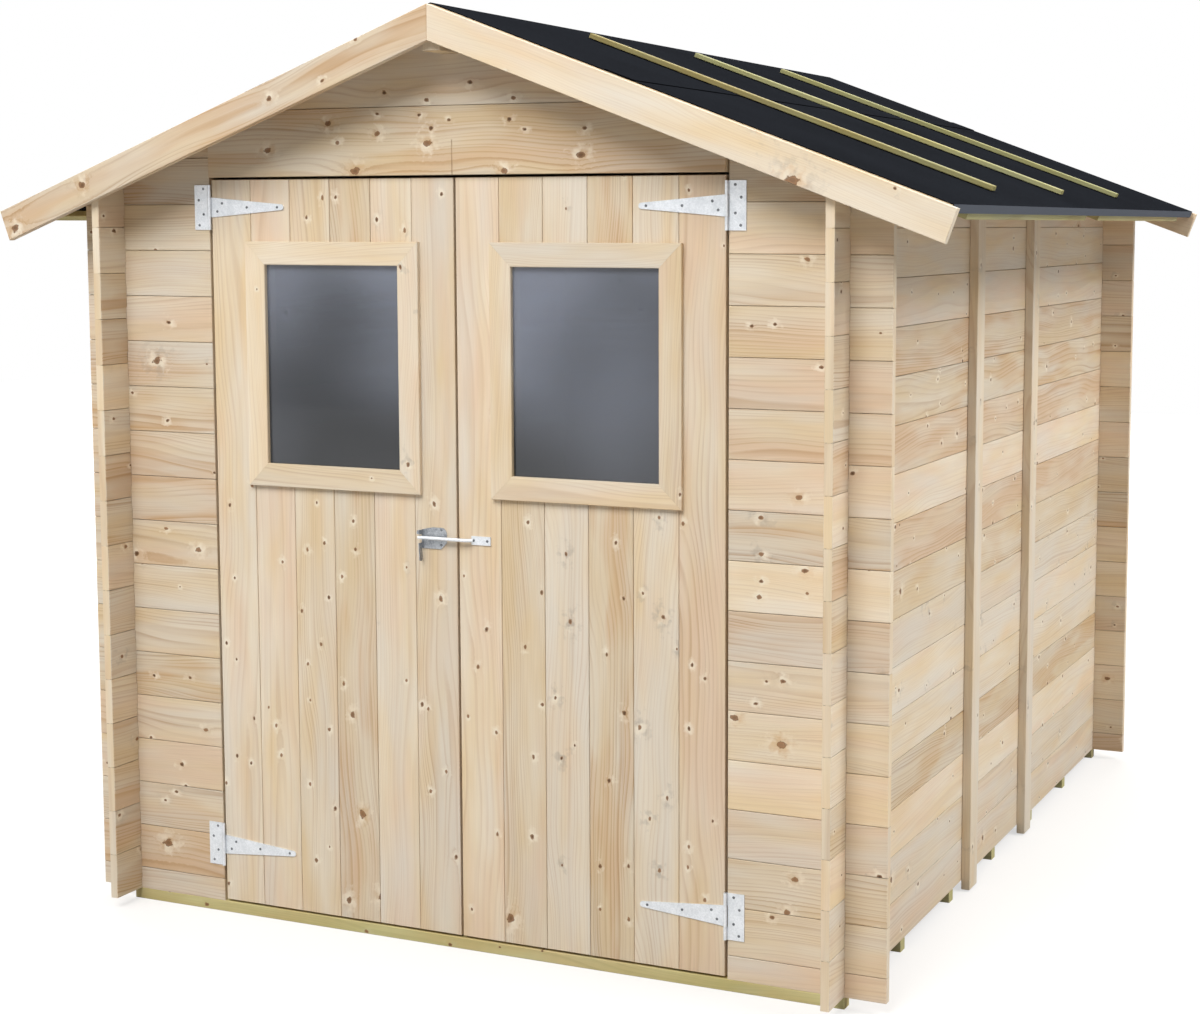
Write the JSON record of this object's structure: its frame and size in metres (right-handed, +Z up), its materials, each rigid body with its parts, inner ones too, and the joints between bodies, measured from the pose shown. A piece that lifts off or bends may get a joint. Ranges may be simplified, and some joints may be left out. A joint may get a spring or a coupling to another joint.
{
  "type": "wooden garden shed",
  "caption": "Small timber garden shed with crossed-board corners, glazed double doors on strap hinges, a gate latch and a felted saddle roof.",
  "frame": {"origin": "on the ground, under the middle of the shed's overall box", "axes": "+Z up, +Y from the doors to the back along the ridge, +X to the right seen from the front"},
  "size_m": [2.5264, 2.723, 2.2706],
  "materials": {
    "planed_spruce": "planed, bare",
    "sawn_spruce": "sawn, bare",
    "treated_pine": "sawn, pressure treated",
    "roofing_felt": "fine mineral grit",
    "galvanised_steel": "bright zinc",
    "window_glass": "clear pane"
  },
  "bodies": {
    "root": {"back_wall": "planed_spruce", "door_lintel": "sawn_spruce", "door_post_left": "sawn_spruce", "door_post_right": "sawn_spruce", "eave_strips_left": "treated_pine", "eave_strips_right": "treated_pine", "fascia_back_left": "planed_spruce", "fascia_back_right": "planed_spruce", "fascia_front_left": "planed_spruce", "fascia_front_right": "planed_spruce", "felt_lower_left": "roofing_felt", "felt_lower_right": "roofing_felt", "felt_upper": "roofing_felt", "floor_deck": "sawn_spruce", "floor_joists": "treated_pine", "front_gable": "planed_spruce", "front_joist": "treated_pine", "front_wall_left": "planed_spruce", "front_wall_right": "planed_spruce", "hinge_plates_left": "galvanised_steel", "hinge_plates_right": "galvanised_steel", "left_wall": "planed_spruce", "ridge_beam": "sawn_spruce", "right_wall": "planed_spruce", "roof_battens_left": "treated_pine", "roof_battens_right": "treated_pine", "roof_deck_left": "sawn_spruce", "roof_deck_right": "sawn_spruce", "side_battens_left": "planed_spruce", "side_battens_right": "planed_spruce"},
    "door_right": {"door_right_glass": "window_glass", "door_right_inner_frame": "planed_spruce", "door_right_ledges": "planed_spruce", "door_right_panel": "planed_spruce", "door_right_window_frame": "planed_spruce", "hinge_straps_right": "galvanised_steel", "striker_bar": "galvanised_steel"},
    "door_left": {"door_left_glass": "window_glass", "door_left_inner_frame": "planed_spruce", "door_left_ledges": "planed_spruce", "door_left_panel": "planed_spruce", "door_left_window_frame": "planed_spruce", "hinge_straps_left": "galvanised_steel", "latch_body": "galvanised_steel"},
    "pawl": {"latch_pawl": "galvanised_steel"}
  },
  "joints": [
    {"name": "right_door_hinge", "type": "hinge", "parent": "root", "child": "door_right", "pos_m": [0.6985, -1.2485, 1], "axis": [0, 0, 1], "range_deg": [0, 120]},
    {"name": "left_door_hinge", "type": "hinge", "parent": "root", "child": "door_left", "pos_m": [-0.6985, -1.2485, 1], "axis": [0, 0, -1], "range_deg": [0, 120]},
    {"name": "pawl_rivet", "type": "hinge", "parent": "door_left", "child": "pawl", "pos_m": [-0.1006, -1.2555, 1.027], "axis": [-1, 0, 0], "range_deg": [0, 50]}
  ],
  "couplings": [
    {"joint": "left_door_hinge", "follows": "right_door_hinge", "ratio": 1}
  ]
}
